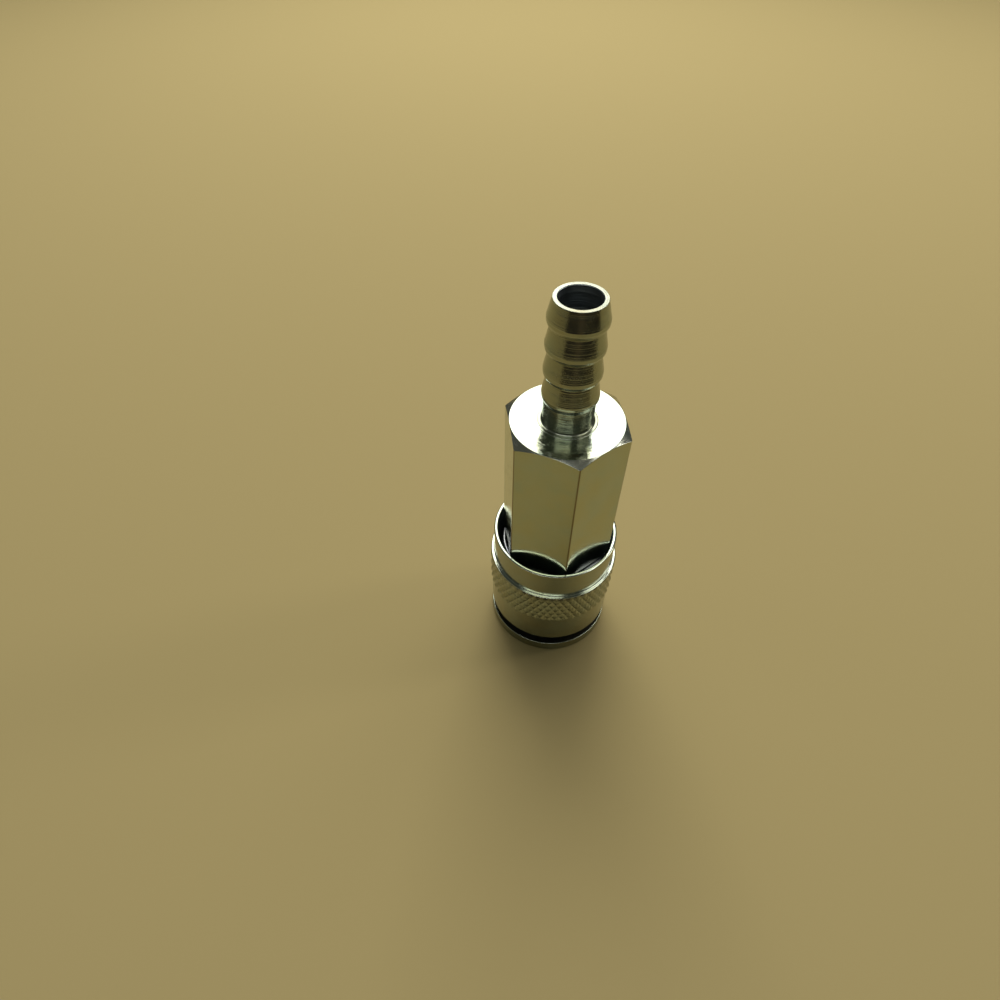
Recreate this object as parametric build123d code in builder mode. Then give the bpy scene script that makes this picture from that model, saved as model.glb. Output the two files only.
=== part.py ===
from math import atan, cos, pi, radians, sin, tan
import os

from build123d import *

# Quick disconnect coupler for an air hose, millimetres.
# The nose that takes the plug stands on z = 0, the hose barb points up, and the common axis is Z.
# Sizes grow from the inside out: plug bore, lock balls, barrel, thread, hexagon, sleeve.

# Driving sizes
plug_bore_r = 6.0          # takes the 12 mm shank of the plug
plug_bore_depth = 17.5
bore_relief = 0.2          # the bore is a little wider from the balls inward
tip_bore_r = 4.05          # takes the 8 mm tip of the plug
ball_r = 2.0
ball_count = 6
ball_reach = 1.1           # how far a locked ball stands into the plug bore
ball_proud = 0.2           # how far a locked ball stands out of the barrel
thread_step = 0.7          # barrel surface down to the thread
hex_wall = 1.525           # thread to the flats of the hexagon
sleeve_gap = 0.3           # hexagon corners to the bore of the sleeve
rim_wall = 0.7             # thin rear rim of the sleeve
ridge_step = 0.7           # knurled band above the rear band
band_step = 0.3            # knurled band above the front band
sleeve_travel = 4.5        # pull that frees the plug
nose_flange_t = 2.5
nose_groove_w = 2.5
nose_groove_depth = 1.7
land_length = 3.4          # bearing of the sleeve on the barrel
sleeve_spring_closed = 4.2 # length with the sleeve pulled back
rim_overlap = 2.9          # sleeve rim behind the front face of the hexagon
rear_band_w = 6.4
knurl_w = 8.0
hex_length = 31.0
spigot_length = 9.0
spigot_wall = 1.8
barb_length = 21.9
barb_bore_r = 3.2
barb_crest_r = 4.6
barb_root_r = 3.95
barb_stem_r = 4.2
barb_count = 4
barb_pitch = 4.4
barb_land = 0.8
valve_lift = 4.0
valve_spring_closed = 5.8  # length with the valve open

# Fits
running_fit = 0.05         # radial play of moving pieces
close_fit = 0.02           # play of pieces that stay put
seat_gap = 0.1             # clear of a face that only loosely guides

# Small edge breaks
edge_break = 0.3
mouth_chamfer = 0.8

# Lock: balls, barrel and the ramp that lets the balls out
ball_centre_r = plug_bore_r - ball_reach + ball_r
ball_travel = ball_reach
relieved_bore_r = plug_bore_r + bore_relief
barrel_r = ball_centre_r + ball_r - ball_proud
ramp_angle = atan(ball_travel / sleeve_travel)
stop_z = nose_flange_t + nose_groove_w
ball_z = stop_z + sleeve_travel + 0.25 * ball_r
ramp_r_at_ball = ball_centre_r + (ball_r + running_fit) / cos(ramp_angle)
land_r = barrel_r + running_fit
land_z0 = ball_z + (ramp_r_at_ball - land_r) / tan(ramp_angle)
land_z1 = land_z0 + land_length
ramp_mouth_r = ramp_r_at_ball + (ball_z - stop_z) * tan(ramp_angle)
entry_z1 = ball_z - ball_r - seat_gap - running_fit

# Body and adapter
seat_ring_t = 0.8
sleeve_spring_length = sleeve_travel + sleeve_spring_closed
hex_z0 = land_z1 + seat_ring_t + sleeve_spring_length
hex_z1 = hex_z0 + hex_length
tip_z = hex_z1 + barb_length
thread_r = barrel_r - thread_step
hex_inradius = thread_r + hex_wall
hex_corner_r = hex_inradius / cos(radians(30))
chamber_r = thread_r - spigot_wall
spigot_z1 = hex_z0 + spigot_length

# Sleeve
sleeve_bore_r = hex_corner_r + sleeve_gap
rear_band_r = sleeve_bore_r + rim_wall
knurl_r = rear_band_r + ridge_step
front_band_r = knurl_r - band_step
sleeve_z1 = hex_z0 + rim_overlap
ridge_z = sleeve_z1 - rear_band_w
knurl_z0 = ridge_z - knurl_w

# Seals and valve
plug_seal_r = 0.75
plug_seal_z = plug_bore_depth + 2.65
plug_seal_centre_r = tip_bore_r - 0.15 + plug_seal_r
adapter_seal_r = 0.55
adapter_seal_z = spigot_z1 - 1.2
seat_lip_h = 0.5
seat_lip_w = 0.55
valve_seat_z = plug_bore_depth + 8.0
seal_washer_t = 1.2
valve_head_t = 1.5
valve_head_z0 = valve_seat_z + seal_washer_t
valve_head_z1 = valve_head_z0 + valve_head_t
valve_head_r = chamber_r - 1.0
valve_pin_r = 1.5
nose_length = 3.5
guide_z0 = valve_head_z1 + valve_lift + valve_spring_closed
guide_t = 2.0
guide_z1 = guide_z0 + guide_t
guide_r = chamber_r - seat_gap
valve_stem_z1 = guide_z1 + 1.0
funnel_z0 = valve_stem_z1 + valve_lift + 1.0
funnel_z1 = funnel_z0 + 3.0
guide_shoulder = 0.8

os.makedirs("parts", exist_ok=True)

# Socket body: one turned steel piece with the nose flange, the barrel and the threaded rear spigot
hub_r = front_band_r - nose_groove_depth
seal_groove_w = 2 * plug_seal_r + 0.4
seal_groove_r = plug_seal_centre_r + plug_seal_r
ring_groove_w = 2 * adapter_seal_r + 0.4
ring_groove_r = thread_r - 2 * adapter_seal_r

with BuildPart() as socket_body:
    with BuildSketch(Plane.XZ):
        with BuildLine():
            Polyline(
                (plug_bore_r + mouth_chamfer, 0),
                (front_band_r - edge_break, 0),
                (front_band_r, edge_break),
                (front_band_r, nose_flange_t - edge_break),
                (front_band_r - edge_break, nose_flange_t),
                (hub_r, nose_flange_t),
                (hub_r, stop_z),
                (barrel_r, stop_z),
                (barrel_r, hex_z0),
                (thread_r, hex_z0),
                (thread_r, adapter_seal_z - ring_groove_w / 2),
                (ring_groove_r, adapter_seal_z - ring_groove_w / 2),
                (ring_groove_r, adapter_seal_z + ring_groove_w / 2),
                (thread_r, adapter_seal_z + ring_groove_w / 2),
                (thread_r, spigot_z1 - edge_break),
                (thread_r - edge_break, spigot_z1),
                (chamber_r, spigot_z1),
                (chamber_r, valve_seat_z - seat_lip_h),
                (tip_bore_r + 2 * seat_lip_w, valve_seat_z - seat_lip_h),
                (tip_bore_r + seat_lip_w, valve_seat_z),
                (tip_bore_r, valve_seat_z),
                (tip_bore_r, plug_seal_z + seal_groove_w / 2),
                (seal_groove_r, plug_seal_z + seal_groove_w / 2),
                (seal_groove_r, plug_seal_z - seal_groove_w / 2),
                (tip_bore_r, plug_seal_z - seal_groove_w / 2),
                (tip_bore_r, plug_bore_depth + edge_break),
                (tip_bore_r + edge_break, plug_bore_depth),
                (relieved_bore_r, plug_bore_depth),
                (relieved_bore_r, entry_z1),
                (plug_bore_r, entry_z1 - bore_relief),
                (plug_bore_r, mouth_chamfer),
                close=True,
            )
        make_face()
    revolve(axis=Axis.Z)
    # Ball pockets, cut from outside by a round-nosed cutter so that a ball can't drop into the bore
    with Locations((0, 0, ball_z)):
        with PolarLocations(ball_centre_r, ball_count):
            Sphere(ball_r + running_fit, mode=Mode.SUBTRACT)
            Cylinder(
                ball_r + running_fit,
                2 * ball_r,
                rotation=(0, 90, 0),
                align=(Align.CENTER, Align.CENTER, Align.MIN),
                mode=Mode.SUBTRACT,
            )
socket_body.part.label = "socket_body"
export_step(socket_body.part, "parts/socket_body.step")

# Lock balls: hardened chrome steel, one in each pocket, pushed in by the ramp of the sleeve
for number in range(1, ball_count + 1):
    angle = 2 * pi * (number - 1) / ball_count
    with BuildPart() as lock_ball:
        with Locations((ball_centre_r * cos(angle), ball_centre_r * sin(angle), ball_z)):
            Sphere(ball_r)
    lock_ball.part.label = f"lock_ball_{number}"
    export_step(lock_ball.part, f"parts/lock_ball_{number}.step")

# Lock sleeve: turned steel, its front ramp over the balls, its thin rear rim around the hexagon
with BuildPart() as lock_sleeve:
    with BuildSketch(Plane.XZ):
        with BuildLine():
            Polyline(
                (ramp_mouth_r, stop_z),
                (front_band_r - edge_break, stop_z),
                (front_band_r, stop_z + edge_break),
                (front_band_r, knurl_z0 - band_step),
                (knurl_r, knurl_z0),
                (knurl_r, ridge_z - ridge_step / 2),
                (knurl_r - ridge_step / 2, ridge_z),
                (rear_band_r, ridge_z),
                (rear_band_r, sleeve_z1 - edge_break / 2),
                (rear_band_r - edge_break / 2, sleeve_z1),
                (sleeve_bore_r + edge_break / 2, sleeve_z1),
                (sleeve_bore_r, sleeve_z1 - edge_break / 2),
                (sleeve_bore_r, land_z1),
                (land_r, land_z1),
                (land_r, land_z0),
                close=True,
            )
        make_face()
    revolve(axis=Axis.Z)
lock_sleeve.part.label = "lock_sleeve"
export_step(lock_sleeve.part, "parts/lock_sleeve.step")

# Spring seat ring: a steel washer that the sleeve turns on and the sleeve spring pushes against
with BuildPart() as spring_seat_ring:
    with BuildSketch(Plane.XY.offset(land_z1)):
        Circle(sleeve_bore_r - 2 * seat_gap)
        Circle(barrel_r + seat_gap, mode=Mode.SUBTRACT)
    extrude(amount=seat_ring_t - close_fit)
spring_seat_ring.part.label = "spring_seat_ring"
export_step(spring_seat_ring.part, "parts/spring_seat_ring.step")

# Sleeve spring: round steel wire between the seat ring and the front face of the hexagon
sleeve_wire_r = 0.55
sleeve_spring_turns = 3.0
sleeve_spring_rise = sleeve_spring_length - 2 * sleeve_wire_r - 2 * close_fit
sleeve_spring_z0 = land_z1 + seat_ring_t + sleeve_wire_r + close_fit

with BuildPart() as sleeve_spring:
    with BuildLine() as sleeve_spring_path:
        Helix(
            pitch=sleeve_spring_rise / sleeve_spring_turns,
            height=sleeve_spring_rise,
            radius=(barrel_r + sleeve_bore_r) / 2,
            center=(0, 0, sleeve_spring_z0),
        )
    with BuildSketch(Plane(sleeve_spring_path.line @ 0, z_dir=sleeve_spring_path.line % 0)):
        Circle(sleeve_wire_r)
    sweep(path=sleeve_spring_path.line, is_frenet=True)
sleeve_spring.part.label = "sleeve_spring"
export_step(sleeve_spring.part, "parts/sleeve_spring.step")

# Hose barb adapter: turned from hexagon bar, it closes the body and carries the barbed hose tail
barb_back = barb_land / 2
first_crest_z = tip_z - 3.5
barb_foot_z = first_crest_z - (barb_count - 1) * barb_pitch - barb_land / 2 - barb_back
stem_fillet = 0.6
spigot_bore_z1 = spigot_z1 + seat_gap

with BuildPart() as hose_barb_adapter:
    with BuildSketch(Plane.XY.offset(hex_z0)):
        RegularPolygon(radius=hex_inradius, side_count=6, major_radius=False)
    extrude(amount=hex_length)
    # Both ends of the hexagon are turned off at 30 degrees, down to the flats
    with BuildSketch(Plane.XZ):
        chamfer_drop = (hex_corner_r - hex_inradius + edge_break) * tan(radians(30))
        with BuildLine():
            Polyline(
                (0, hex_z0),
                (hex_inradius - edge_break, hex_z0),
                (hex_corner_r, hex_z0 + chamfer_drop),
                (hex_corner_r + edge_break, hex_z0 + chamfer_drop),
                (hex_corner_r + edge_break, hex_z1 - chamfer_drop),
                (hex_corner_r, hex_z1 - chamfer_drop),
                (hex_inradius, hex_z1),
                (0, hex_z1),
                close=True,
            )
        make_face()
    revolve(axis=Axis.Z, mode=Mode.INTERSECT)
    # Barbed hose tail
    with BuildSketch(Plane.XZ):
        with BuildLine():
            Line((0, hex_z1), (barb_stem_r + stem_fillet, hex_z1))
            RadiusArc(
                (barb_stem_r + stem_fillet, hex_z1),
                (barb_stem_r, hex_z1 + stem_fillet),
                stem_fillet,
            )
            Line((barb_stem_r, hex_z1 + stem_fillet), (barb_stem_r, barb_foot_z))
            last = (barb_stem_r, barb_foot_z)
            for barb in range(barb_count):
                crest_z = first_crest_z - (barb_count - 1 - barb) * barb_pitch
                Line(last, (barb_crest_r, crest_z - barb_land / 2))
                ThreePointArc(
                    (barb_crest_r, crest_z - barb_land / 2),
                    (barb_crest_r + 0.05, crest_z),
                    (barb_crest_r, crest_z + barb_land / 2),
                )
                next_root_z = crest_z + barb_pitch - barb_land / 2 - barb_back
                last = (barb_root_r, min(next_root_z, tip_z))
                Line((barb_crest_r, crest_z + barb_land / 2), last)
            Line(last, (0, tip_z))
            Line((0, tip_z), (0, hex_z1))
        make_face()
    revolve(axis=Axis.Z)
    # The bore: thread, valve chamber, guide shoulder, funnel and the air way through the barb
    with BuildSketch(Plane.XZ):
        with BuildLine():
            Polyline(
                (0, hex_z0),
                (thread_r + close_fit, hex_z0),
                (thread_r + close_fit, spigot_bore_z1),
                (chamber_r, spigot_bore_z1),
                (chamber_r, guide_z1),
                (chamber_r - guide_shoulder, guide_z1),
                (chamber_r - guide_shoulder, funnel_z0),
                (barb_bore_r, funnel_z1),
                (barb_bore_r, tip_z - edge_break),
                (barb_bore_r + edge_break, tip_z),
                (0, tip_z),
                close=True,
            )
        make_face()
    revolve(axis=Axis.Z, mode=Mode.SUBTRACT)
hose_barb_adapter.part.label = "hose_barb_adapter"
export_step(hose_barb_adapter.part, "parts/hose_barb_adapter.step")

# Plug seal: rubber ring in the groove of the tip bore, it grips the tip of the plug
with BuildPart() as plug_seal:
    with BuildSketch(Plane.XZ):
        with Locations((plug_seal_centre_r, plug_seal_z)):
            Circle(plug_seal_r - close_fit)
    revolve(axis=Axis.Z)
plug_seal.part.label = "plug_seal"
export_step(plug_seal.part, "parts/plug_seal.step")

# Adapter seal: rubber ring near the end of the spigot, it closes the screwed joint
with BuildPart() as adapter_seal:
    with BuildSketch(Plane.XZ):
        with Locations((thread_r - adapter_seal_r, adapter_seal_z)):
            Circle(adapter_seal_r - close_fit / 2)
    revolve(axis=Axis.Z)
adapter_seal.part.label = "adapter_seal"
export_step(adapter_seal.part, "parts/adapter_seal.step")

# Valve poppet: turned brass, a head with a front pin for the nose and a rear stem in the guide
with BuildPart() as valve_poppet:
    with BuildSketch(Plane.XZ):
        with BuildLine():
            Polyline(
                (0, valve_seat_z - nose_length + edge_break),
                (valve_pin_r, valve_seat_z - nose_length + edge_break),
                (valve_pin_r, valve_head_z0),
                (valve_head_r - edge_break, valve_head_z0),
                (valve_head_r, valve_head_z0 + edge_break),
                (valve_head_r, valve_head_z1 - edge_break),
                (valve_head_r - edge_break, valve_head_z1),
                (valve_pin_r, valve_head_z1),
                (valve_pin_r, valve_stem_z1 - edge_break),
                (valve_pin_r - edge_break, valve_stem_z1),
                (0, valve_stem_z1),
                close=True,
            )
        make_face()
    revolve(axis=Axis.Z)
valve_poppet.part.label = "valve_poppet"
export_step(valve_poppet.part, "parts/valve_poppet.step")

# Valve seal: flat rubber washer on the front pin, it closes against the lip in the body
with BuildPart() as valve_seal:
    with BuildSketch(Plane.XY.offset(valve_seat_z)):
        Circle(valve_head_r)
        Circle(valve_pin_r + close_fit, mode=Mode.SUBTRACT)
    extrude(amount=seal_washer_t)
valve_seal.part.label = "valve_seal"
export_step(valve_seal.part, "parts/valve_seal.step")

# Valve nose: brass star pressed on the front pin, the tip of the plug pushes its three legs
nose_hub_r = 2.5
nose_leg_r = tip_bore_r - 0.35
nose_leg_w = 1.4
nose_leg_count = 3

with BuildPart() as valve_nose:
    with BuildSketch(Plane.XY.offset(valve_seat_z - nose_length)):
        Circle(nose_hub_r)
        with PolarLocations(0, nose_leg_count):
            Rectangle(nose_leg_r, nose_leg_w, align=(Align.MIN, Align.CENTER))
    extrude(amount=nose_length)
    chamfer(valve_nose.faces().sort_by(Axis.Z)[0].edges(), edge_break)
    with BuildSketch(Plane.XY.offset(valve_seat_z - nose_length)):
        Circle(valve_pin_r + close_fit)
    extrude(amount=nose_length, mode=Mode.SUBTRACT)
valve_nose.part.label = "valve_nose"
export_step(valve_nose.part, "parts/valve_nose.step")

# Valve guide: brass disc on the shoulder of the adapter, notched so that air passes its rim
notch_count = 5
notch_r = 1.9

with BuildPart() as valve_guide:
    with BuildSketch(Plane.XY.offset(guide_z0)):
        Circle(guide_r)
        Circle(valve_pin_r + running_fit, mode=Mode.SUBTRACT)
        with PolarLocations(chamber_r, notch_count):
            Circle(notch_r, mode=Mode.SUBTRACT)
    extrude(amount=guide_t - close_fit)
valve_guide.part.label = "valve_guide"
export_step(valve_guide.part, "parts/valve_guide.step")

# Valve spring: thin steel wire between the guide and the back of the valve head
valve_wire_r = 0.35
valve_spring_turns = 6.0
valve_spring_r = valve_head_r - 1.6
valve_spring_rise = guide_z0 - valve_head_z1 - 2 * valve_wire_r - 2 * close_fit

with BuildPart() as valve_spring:
    with BuildLine() as valve_spring_path:
        Helix(
            pitch=valve_spring_rise / valve_spring_turns,
            height=valve_spring_rise,
            radius=valve_spring_r,
            center=(0, 0, valve_head_z1 + valve_wire_r + close_fit),
        )
    with BuildSketch(Plane(valve_spring_path.line @ 0, z_dir=valve_spring_path.line % 0)):
        Circle(valve_wire_r)
    sweep(path=valve_spring_path.line, is_frenet=True)
valve_spring.part.label = "valve_spring"
export_step(valve_spring.part, "parts/valve_spring.step")
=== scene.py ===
# Quick disconnect coupler, standing on its nose on a pale bench top.
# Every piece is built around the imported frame, in metres, with the common axis on Z.
import math

import bmesh
import bpy
from mathutils import Matrix, Vector


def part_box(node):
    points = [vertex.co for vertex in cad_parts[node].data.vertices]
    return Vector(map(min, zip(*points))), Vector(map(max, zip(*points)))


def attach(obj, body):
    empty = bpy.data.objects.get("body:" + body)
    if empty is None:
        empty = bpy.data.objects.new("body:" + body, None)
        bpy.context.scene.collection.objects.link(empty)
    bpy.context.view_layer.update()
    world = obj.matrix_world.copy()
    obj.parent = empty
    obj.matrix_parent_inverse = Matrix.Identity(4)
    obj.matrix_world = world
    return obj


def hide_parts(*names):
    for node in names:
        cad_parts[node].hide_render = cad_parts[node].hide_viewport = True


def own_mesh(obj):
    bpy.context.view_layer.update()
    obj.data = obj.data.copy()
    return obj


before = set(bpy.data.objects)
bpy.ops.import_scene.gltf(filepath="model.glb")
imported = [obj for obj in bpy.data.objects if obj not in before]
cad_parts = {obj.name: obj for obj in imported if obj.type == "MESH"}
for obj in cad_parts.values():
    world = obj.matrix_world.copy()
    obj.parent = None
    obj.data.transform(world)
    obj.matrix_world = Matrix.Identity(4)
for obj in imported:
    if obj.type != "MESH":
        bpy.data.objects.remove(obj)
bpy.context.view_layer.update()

MM = 0.001


# ---------------------------------------------------------------------------------------------
# View: a hand-held camera above the barb, looking steeply down at the standing coupler.
# A corner of the hexagon points to the right of the lens.
# ---------------------------------------------------------------------------------------------
hex_low, hex_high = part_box("hose_barb_adapter")
coupler_height = hex_high.z

camera_distance = 76.65 * MM
camera_height = 122.2 * MM
camera_turn = math.radians(-75.0)
camera_pan = math.radians(-8.17)
camera_pitch = math.radians(49.04)
camera_roll = math.radians(0.19)
lens_ratio = 0.62

camera_data = bpy.data.cameras.new("bench_camera")
camera_data.sensor_width = 36.0
camera_data.lens = camera_data.sensor_width * lens_ratio
camera_data.clip_start = 0.005
camera_data.clip_end = 20.0
camera = bpy.data.objects.new("bench_camera", camera_data)
bpy.context.scene.collection.objects.link(camera)
heading = camera_turn + math.pi - camera_pan
forward = Vector(
    (
        math.cos(heading) * math.cos(camera_pitch),
        math.sin(heading) * math.cos(camera_pitch),
        -math.sin(camera_pitch),
    )
)
level = forward.cross(Vector((0, 0, 1))).normalized()
upward = level.cross(forward)
right = level * math.cos(camera_roll) + upward * math.sin(camera_roll)
camera_up = right.cross(forward)
placed = Matrix((right, camera_up, -forward)).transposed().to_4x4()
placed.translation = Vector(
    (
        camera_distance * math.cos(camera_turn),
        camera_distance * math.sin(camera_turn),
        camera_height,
    )
)
camera.matrix_world = placed
bpy.context.scene.camera = camera


# ---------------------------------------------------------------------------------------------
# Bench top and studio light: a plain pale top and one broad soft lamp behind the coupler, which
# the turned end of the hexagon mirrors, with two weaker soft lamps at the sides and a fill above.
# ---------------------------------------------------------------------------------------------
bench_half_width = 1.5
bench_color = (0.53, 0.42, 0.19, 1.0)
bench_mesh = bpy.data.meshes.new("bench_top")
bench_mesh.from_pydata(
    [
        (-bench_half_width, -bench_half_width, 0.0),
        (bench_half_width, -bench_half_width, 0.0),
        (bench_half_width, bench_half_width, 0.0),
        (-bench_half_width, bench_half_width, 0.0),
    ],
    [],
    [(0, 1, 2, 3)],
)
bench = bpy.data.objects.new("bench_top", bench_mesh)
bpy.context.scene.collection.objects.link(bench)
bench_material = bpy.data.materials.new("pale_bench_top")
bench_material.use_nodes = True
bench_shader = bench_material.node_tree.nodes["Principled BSDF"]
bench_shader.inputs["Base Color"].default_value = bench_color
bench_shader.inputs["Roughness"].default_value = 0.95
bench_shader.inputs["Specular IOR Level"].default_value = 0.15
bench.data.materials.append(bench_material)


def soft_lamp(name, azimuth, elevation, distance, size, power, color):
    """A rectangular area lamp that looks at the middle of the coupler. Angles are in degrees."""
    target = Vector((0, 0, coupler_height / 2))
    azimuth = math.radians(azimuth)
    elevation = math.radians(elevation)
    away = Vector(
        (
            math.cos(azimuth) * math.cos(elevation),
            math.sin(azimuth) * math.cos(elevation),
            math.sin(elevation),
        )
    )
    lamp_data = bpy.data.lights.new(name, "AREA")
    lamp_data.shape = "RECTANGLE"
    lamp_data.size = size[0]
    lamp_data.size_y = size[1]
    lamp_data.energy = power
    lamp_data.color = color
    lamp = bpy.data.objects.new(name, lamp_data)
    bpy.context.scene.collection.objects.link(lamp)
    lamp.location = target + away * distance
    lamp.rotation_euler = away.to_track_quat("Z", "Y").to_euler()
    lamp.visible_camera = False
    return lamp


view_azimuth = math.degrees(heading)
soft_lamp("back_lamp", view_azimuth + 2, 43, 0.9, (0.52, 0.56), 3.5, (1.0, 1.0, 0.95))
soft_lamp("left_lamp", view_azimuth + 78, 24, 1.0, (0.22, 0.30), 0.16, (0.95, 0.98, 1.0))
soft_lamp("right_lamp", view_azimuth - 77, 26, 0.9, (0.14, 0.36), 0.8, (1.0, 0.97, 0.9))
fill = soft_lamp("overhead_fill", view_azimuth - 8, 60, 1.1, (1.2, 0.8), 5.3, (1.0, 0.98, 0.93))
fill.visible_glossy = False

# Two narrow strips high up light only the polished edges, the rim and the ridge of the sleeve.
strip_width = 0.15
strip_color = (1.0, 1.0, 0.96)
for side, turn, length, power in (("left", 162, 0.62, 1.0), ("right", -80, 0.5, 0.75)):
    strip_size = (length, strip_width)
    strip = soft_lamp(f"{side}_strip", view_azimuth + turn, 58, 0.8, strip_size, power, strip_color)
    strip.visible_diffuse = False

# Three dark cards stand in an arc in front, under the lens. Only the polished metal sees them:
# they give the barbs the dark streaks that shape bright turned steel.
card_distance = 0.16
card_foot = 0.001
card_height = 0.10


def front_card(name, turn_from, turn_to, color, bends=8):
    """A dark curved card just over the bench top, between two angles from the lens, in degrees."""
    verts = []
    for bend in range(bends + 1):
        turn = heading + math.pi + math.radians(turn_from + (turn_to - turn_from) * bend / bends)
        x, y = card_distance * math.cos(turn), card_distance * math.sin(turn)
        verts += [(x, y, card_foot), (x, y, card_height)]
    mesh = bpy.data.meshes.new(name)
    faces = [(2 * i, 2 * i + 2, 2 * i + 3, 2 * i + 1) for i in range(bends)]
    mesh.from_pydata(verts, [], faces)
    material = bpy.data.materials.new(name)
    material.use_nodes = True
    shader = material.node_tree.nodes["Principled BSDF"]
    shader.inputs["Base Color"].default_value = color
    shader.inputs["Roughness"].default_value = 1.0
    mesh.materials.append(material)
    card = bpy.data.objects.new(name, mesh)
    bpy.context.scene.collection.objects.link(card)
    card.visible_camera = False
    card.visible_diffuse = False
    card.visible_shadow = False


front_card("left_card", -46, -6, (0.040, 0.032, 0.024, 1.0))
front_card("middle_card", -6, 14, (0.095, 0.070, 0.046, 1.0))
front_card("right_card", 14, 72, (0.044, 0.035, 0.024, 1.0))

world = bpy.data.worlds.new("studio")
world.use_nodes = True
background = world.node_tree.nodes["Background"]
background.inputs["Color"].default_value = (0.80, 0.86, 0.78, 1.0)
background.inputs["Strength"].default_value = 0.11
bpy.context.scene.world = world
bpy.context.scene.view_settings.view_transform = "Standard"


# ---------------------------------------------------------------------------------------------
# Hose barb adapter: one piece turned from bright hexagon bar and zinc plated. Its flats are the
# drawn faces of the bar, its end face, barbs and bores are turned.
# ---------------------------------------------------------------------------------------------
def rounded_corners(corners, steps=4, hold=0.08, plain_hollows=False):
    """The points of a closed outline whose (r, z, radius) corners are each rounded by an arc, with
    an edge value from 0 on the straights to 1 in the middle of an arc, which gives the worn edge
    colour and its painted highlight. A point just outside each end of the arc holds the straights
    flat. A corner of radius 0 is one plain point, and plain_hollows leaves the edge value of hollow
    corners at 0, as nothing rubs there and no highlight is painted there."""
    points = []
    count = len(corners)
    sides = [(corners[i - 1], corners[i]) for i in range(count)]
    area = sum(a[0] * b[1] - b[0] * a[1] for a, b in sides)
    longest_share = 0.45
    held_share = 0.49
    for index, (r, z, radius) in enumerate(corners):
        if radius == 0:
            points.append((r, z, 0.0))
            continue
        here = Vector((r, z))
        before = Vector(corners[index - 1][:2]) - here
        after = Vector(corners[(index + 1) % count][:2]) - here
        hollow = (before.x * after.y - before.y * after.x) * area > 0
        # The edge value gives both the worn edge colour and its painted highlight.
        wear = 0.0 if plain_hollows and hollow else 1.0
        reach_before, reach_after = before.length, after.length
        before.normalize()
        after.normalize()
        half = before.angle(after) / 2
        longest = longest_share * min(reach_before, reach_after)
        reach = min(radius / max(math.tan(half), 1e-6), longest)
        start = here + before * reach
        end = here + after * reach
        held_start = here + before * min(reach + hold, held_share * reach_before)
        held_end = here + after * min(reach + hold, held_share * reach_after)
        points.append((held_start.x, held_start.y, 0.0))
        for step in range(steps + 1):
            t = step / steps
            point = start * (1 - t) ** 2 + here * (2 * t * (1 - t)) + end * t**2
            points.append((point.x, point.y, wear * (1 - abs(2 * t - 1))))
        points.append((held_end.x, held_end.y, 0.0))
    return points


def smooth_faces(mesh, angle=35):
    """Smooth shading, kept sharp where faces meet at more than the angle."""
    mesh.shade_smooth()
    mesh.set_sharp_from_angle(angle=math.radians(angle))


def ring_piece(name, angles, column):
    """A closed piece around Z: column(i) gives the closed outline, in mm, at the i-th angle."""
    columns = [column(i) for i in range(len(angles))]
    length = len(columns[0])
    verts = []
    edges = []
    for angle, points in zip(angles, columns):
        c, s = math.cos(angle), math.sin(angle)
        for r, z, edge in points:
            verts.append((r * c * MM, r * s * MM, z * MM))
            edges.append(edge)
    faces = []
    for i in range(len(angles)):
        this_column = i * length
        next_column = (i + 1) % len(angles) * length
        for j in range(length):
            k = (j + 1) % length
            faces.append((this_column + j, this_column + k, next_column + k, next_column + j))
    mesh = bpy.data.meshes.new(name)
    mesh.from_pydata(verts, [], faces)
    worn = mesh.attributes.new("edge", "FLOAT", "POINT")
    worn.data.foreach_set("value", edges)
    work = bmesh.new()
    work.from_mesh(mesh)
    bmesh.ops.recalc_face_normals(work, faces=work.faces)
    work.to_mesh(mesh)
    work.free()
    smooth_faces(mesh)
    piece = bpy.data.objects.new(name, mesh)
    bpy.context.scene.collection.objects.link(piece)
    return piece


def even_angles(count):
    """Angles evenly round the axis, in radians."""
    return [2 * math.pi * i / count for i in range(count)]


class Nodes:
    """Short hand for filling a node tree. An input takes a value or another node's output."""

    def __init__(self, tree):
        self.tree = tree

    def node(self, kind, inputs=None, **settings):
        made = self.tree.nodes.new(kind)
        for key, value in settings.items():
            setattr(made, key, value)
        for key, value in (inputs or {}).items():
            if isinstance(value, bpy.types.NodeSocket):
                self.tree.links.new(value, made.inputs[key])
            else:
                made.inputs[key].default_value = value
        return made

    def math(self, operation, a, b=0.0, c=0.0):
        return self.node("ShaderNodeMath", {0: a, 1: b, 2: c}, operation=operation).outputs[0]

    def noise(self, vector, scale, detail=2.0, roughness=0.5):
        inputs = {"Vector": vector, "Scale": scale, "Detail": detail, "Roughness": roughness}
        return self.node("ShaderNodeTexNoise", inputs).outputs["Fac"]

    def lines(self, across, scale, detail=2.0):
        inputs = {"W": across, "Scale": scale, "Detail": detail}
        return self.node("ShaderNodeTexNoise", inputs, noise_dimensions="1D").outputs["Fac"]

    def ramp(self, value, low, high, to_low=0.0, to_high=1.0):
        inputs = {0: value, 1: low, 2: high, 3: to_low, 4: to_high}
        return self.node("ShaderNodeMapRange", inputs).outputs[0]

    def mix(self, factor, a, b):
        made = self.tree.nodes.new("ShaderNodeMix")
        made.data_type = "RGBA"
        for key, value in {"Factor": factor, "A": a, "B": b}.items():
            socket = [i for i in made.inputs if i.name == key and i.enabled][0]
            if isinstance(value, bpy.types.NodeSocket):
                self.tree.links.new(value, socket)
            else:
                socket.default_value = value
        return [o for o in made.outputs if o.enabled][0]


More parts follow.
